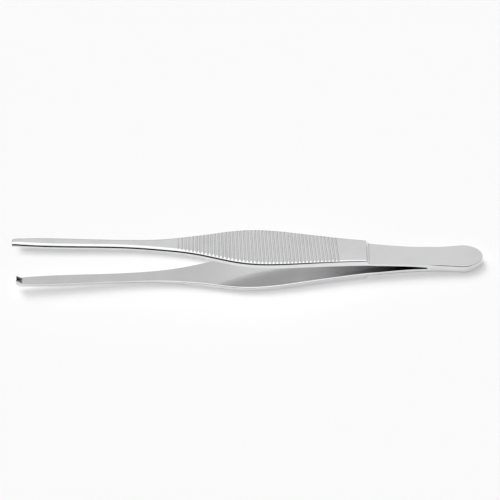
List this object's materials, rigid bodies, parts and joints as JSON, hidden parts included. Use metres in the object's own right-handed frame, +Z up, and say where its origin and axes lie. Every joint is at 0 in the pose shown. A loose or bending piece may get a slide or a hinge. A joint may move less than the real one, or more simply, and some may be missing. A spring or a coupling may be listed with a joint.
{
  "type": "thumb forceps",
  "caption": "Stainless steel thumb forceps with fluted finger grips, slender half-round jaws and interlocking teeth at the tips.",
  "frame": {"origin": "on the table below the middle of the forceps, which lies on the outer face of its lower grip", "axes": "+X from the toothed tips to the tail, +Y across the width of the arms, +Z up from the table"},
  "size_m": [0.1454, 0.0146, 0.0221],
  "materials": {
    "steel": "satin"
  },
  "bodies": {
    "root": {"one_tooth_arm": "steel", "two_tooth_arm": "steel"}
  },
  "joints": []
}
